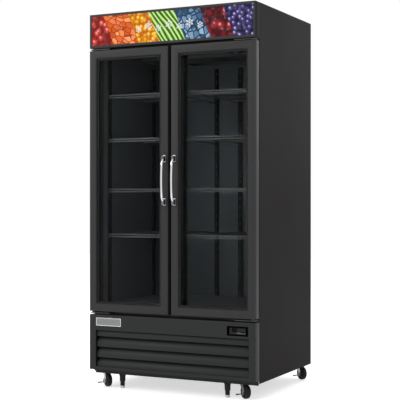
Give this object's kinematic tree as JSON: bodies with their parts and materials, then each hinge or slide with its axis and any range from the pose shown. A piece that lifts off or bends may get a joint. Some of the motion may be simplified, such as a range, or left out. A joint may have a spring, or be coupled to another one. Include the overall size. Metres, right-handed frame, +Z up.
{
  "type": "glass door merchandiser freezer",
  "caption": "Tall black merchandiser freezer with hinged glass doors, wire shelves, a lit sign box, a louvred lower panel, braked casters and levelling legs.",
  "frame": {"origin": "on the floor, in the middle of the footprint, handles included", "axes": "+X to the right seen from the front, +Y from the doors to the back, +Z up"},
  "size_m": [1, 0.86, 2.068],
  "materials": {
    "black_steel": "satin",
    "dark_panel": "satin",
    "back_steel": "satin",
    "liner_metal": "satin",
    "foam": "matte",
    "breaker": "satin",
    "chassis": "satin",
    "plate": "satin",
    "housing": "matte",
    "keys": "satin",
    "sign": "gloss",
    "lamp": "gloss",
    "white_cover": "satin",
    "coil_fins": "satin",
    "fan_plastic": "matte",
    "motor": "satin",
    "rail": "satin",
    "wire": "satin",
    "clip": "satin",
    "compressor_paint": "gloss",
    "pan": "matte",
    "copper": "satin",
    "hinge": "satin",
    "zinc": "satin",
    "door_metal": "satin",
    "glass": "gloss",
    "spacer": "satin",
    "gasket": "matte",
    "chrome": "polished",
    "wheel": "satin",
    "lever": "satin",
    "leg_plastic": "satin",
    "foot_white": "satin",
    "screw": "satin"
  },
  "bodies": {
    "cabinet": {"outer_case": "black_steel", "back_panel": "back_steel", "inner_liner": "liner_metal", "foam_insulation": "foam", "face_frame": "breaker", "base_frame": "chassis", "lower_grille": "dark_panel", "name_plate": "plate", "controller_housing": "housing", "lightbox_housing": "door_metal", "sign_panel": "sign", "led_lamps": "lamp", "evaporator_cover": "white_cover", "evaporator_coil": "coil_fins", "fan_motors": "motor", "shelf_standards": "rail", "left_shelves": "wire", "right_shelves": "wire", "shelf_clips": "clip", "compressor": "compressor_paint", "condenser_coil": "coil_fins", "condenser_shroud": "chassis", "drain_pan": "pan", "refrigerant_tubes": "copper", "hinge_brackets": "hinge", "caster_plates": "zinc", "leg_sleeves": "leg_plastic", "electrical_box": "housing", "panel_screws": "screw"},
    "left_door": {"left_door_frame": "door_metal", "left_door_glass": "glass", "left_glass_spacer": "spacer", "left_door_gasket": "gasket", "left_door_handle": "chrome"},
    "right_door": {"right_door_frame": "door_metal", "right_door_glass": "glass", "right_glass_spacer": "spacer", "right_door_gasket": "gasket", "right_door_handle": "chrome"},
    "left_evaporator_fan_rotor": {"left_evaporator_fan": "fan_plastic"},
    "right_evaporator_fan_rotor": {"right_evaporator_fan": "fan_plastic"},
    "condenser_fan_rotor": {"condenser_fan": "fan_plastic"},
    "left_foot": {"left_levelling_foot": "foot_white"},
    "right_foot": {"right_levelling_foot": "foot_white"},
    "front_left_swivel": {"front_left_caster_fork": "zinc"},
    "front_left_roller": {"front_left_caster_wheel": "wheel"},
    "front_left_brake": {"front_left_caster_brake_lever": "lever"},
    "front_right_swivel": {"front_right_caster_fork": "zinc"},
    "front_right_roller": {"front_right_caster_wheel": "wheel"},
    "front_right_brake": {"front_right_caster_brake_lever": "lever"},
    "rear_left_swivel": {"rear_left_caster_fork": "zinc"},
    "rear_left_roller": {"rear_left_caster_wheel": "wheel"},
    "rear_left_brake": {"rear_left_caster_brake_lever": "lever"},
    "rear_right_swivel": {"rear_right_caster_fork": "zinc"},
    "rear_right_roller": {"rear_right_caster_wheel": "wheel"},
    "rear_right_brake": {"rear_right_caster_brake_lever": "lever"},
    "up_button": {"key_up": "keys"},
    "down_button": {"key_down": "keys"},
    "set_button": {"key_set": "keys"},
    "defrost_button": {"key_defrost": "keys"}
  },
  "joints": [
    {"name": "left_door_hinge", "type": "hinge", "parent": "cabinet", "child": "left_door", "pos_m": [-0.482, -0.375, 1.1465], "axis": [0, 0, -1], "range_deg": [0, 110], "stiffness_Nm_per_rad": 2, "springref_deg": -28.65},
    {"name": "right_door_hinge", "type": "hinge", "parent": "cabinet", "child": "right_door", "pos_m": [0.482, -0.375, 1.1465], "axis": [0, 0, 1], "range_deg": [0, 110], "stiffness_Nm_per_rad": 2, "springref_deg": -28.65},
    {"name": "left_evaporator_fan_spin", "type": "hinge", "parent": "cabinet", "child": "left_evaporator_fan_rotor", "pos_m": [-0.2, 0.071, 1.933], "axis": [0, 1, 0], "continuous": true},
    {"name": "right_evaporator_fan_spin", "type": "hinge", "parent": "cabinet", "child": "right_evaporator_fan_rotor", "pos_m": [0.2, 0.071, 1.933], "axis": [0, 1, 0], "continuous": true},
    {"name": "condenser_fan_spin", "type": "hinge", "parent": "cabinet", "child": "condenser_fan_rotor", "pos_m": [-0.19, -0.214, 0.238], "axis": [0, 1, 0], "continuous": true},
    {"name": "left_foot_screw", "type": "slide", "parent": "cabinet", "child": "left_foot", "axis": [0, 0, -1], "range_m": [0, 0.02]},
    {"name": "right_foot_screw", "type": "slide", "parent": "cabinet", "child": "right_foot", "axis": [0, 0, -1], "range_m": [0, 0.02]},
    {"name": "front_left_caster_swivel", "type": "hinge", "parent": "cabinet", "child": "front_left_swivel", "pos_m": [-0.446, -0.303, 0.08675], "axis": [0, 0, 1], "continuous": true},
    {"name": "front_left_wheel_spin", "type": "hinge", "parent": "front_left_swivel", "child": "front_left_roller", "pos_m": [-0.42634, -0.31677, 0.0375], "axis": [0.5736, 0.8192, 0], "continuous": true},
    {"name": "front_left_brake_press", "type": "hinge", "parent": "front_left_swivel", "child": "front_left_brake", "pos_m": [-0.43982, -0.33602, 0.026], "axis": [0.8192, -0.5736, 0], "range_deg": [0, 12]},
    {"name": "front_right_caster_swivel", "type": "hinge", "parent": "cabinet", "child": "front_right_swivel", "pos_m": [0.394, -0.303, 0.08675], "axis": [0, 0, 1], "continuous": true},
    {"name": "front_right_wheel_spin", "type": "hinge", "parent": "front_right_swivel", "child": "front_right_roller", "pos_m": [0.41366, -0.31677, 0.0375], "axis": [0.5736, 0.8192, 0], "continuous": true},
    {"name": "front_right_brake_press", "type": "hinge", "parent": "front_right_swivel", "child": "front_right_brake", "pos_m": [0.40018, -0.33602, 0.026], "axis": [0.8192, -0.5736, 0], "range_deg": [0, 12]},
    {"name": "rear_left_caster_swivel", "type": "hinge", "parent": "cabinet", "child": "rear_left_swivel", "pos_m": [-0.4446, 0.39, 0.08675], "axis": [0, 0, 1], "continuous": true},
    {"name": "rear_left_wheel_spin", "type": "hinge", "parent": "rear_left_swivel", "child": "rear_left_roller", "pos_m": [-0.42494, 0.37623, 0.0375], "axis": [0.5736, 0.8192, 0], "continuous": true},
    {"name": "rear_left_brake_press", "type": "hinge", "parent": "rear_left_swivel", "child": "rear_left_brake", "pos_m": [-0.43842, 0.35698, 0.026], "axis": [0.8192, -0.5736, 0], "range_deg": [0, 12]},
    {"name": "rear_right_caster_swivel", "type": "hinge", "parent": "cabinet", "child": "rear_right_swivel", "pos_m": [0.4446, 0.39, 0.08675], "axis": [0, 0, 1], "continuous": true},
    {"name": "rear_right_wheel_spin", "type": "hinge", "parent": "rear_right_swivel", "child": "rear_right_roller", "pos_m": [0.46426, 0.37623, 0.0375], "axis": [0.5736, 0.8192, 0], "continuous": true},
    {"name": "rear_right_brake_press", "type": "hinge", "parent": "rear_right_swivel", "child": "rear_right_brake", "pos_m": [0.45078, 0.35698, 0.026], "axis": [0.8192, -0.5736, 0], "range_deg": [0, 12]},
    {"name": "key_up_press", "type": "slide", "parent": "cabinet", "child": "up_button", "axis": [0, 1, 0], "range_m": [0, 0.0008], "stiffness_N_per_m": 1500},
    {"name": "key_down_press", "type": "slide", "parent": "cabinet", "child": "down_button", "axis": [0, 1, 0], "range_m": [0, 0.0008], "stiffness_N_per_m": 1500},
    {"name": "key_set_press", "type": "slide", "parent": "cabinet", "child": "set_button", "axis": [0, 1, 0], "range_m": [0, 0.0008], "stiffness_N_per_m": 1500},
    {"name": "key_defrost_press", "type": "slide", "parent": "cabinet", "child": "defrost_button", "axis": [0, 1, 0], "range_m": [0, 0.0008], "stiffness_N_per_m": 1500}
  ]
}
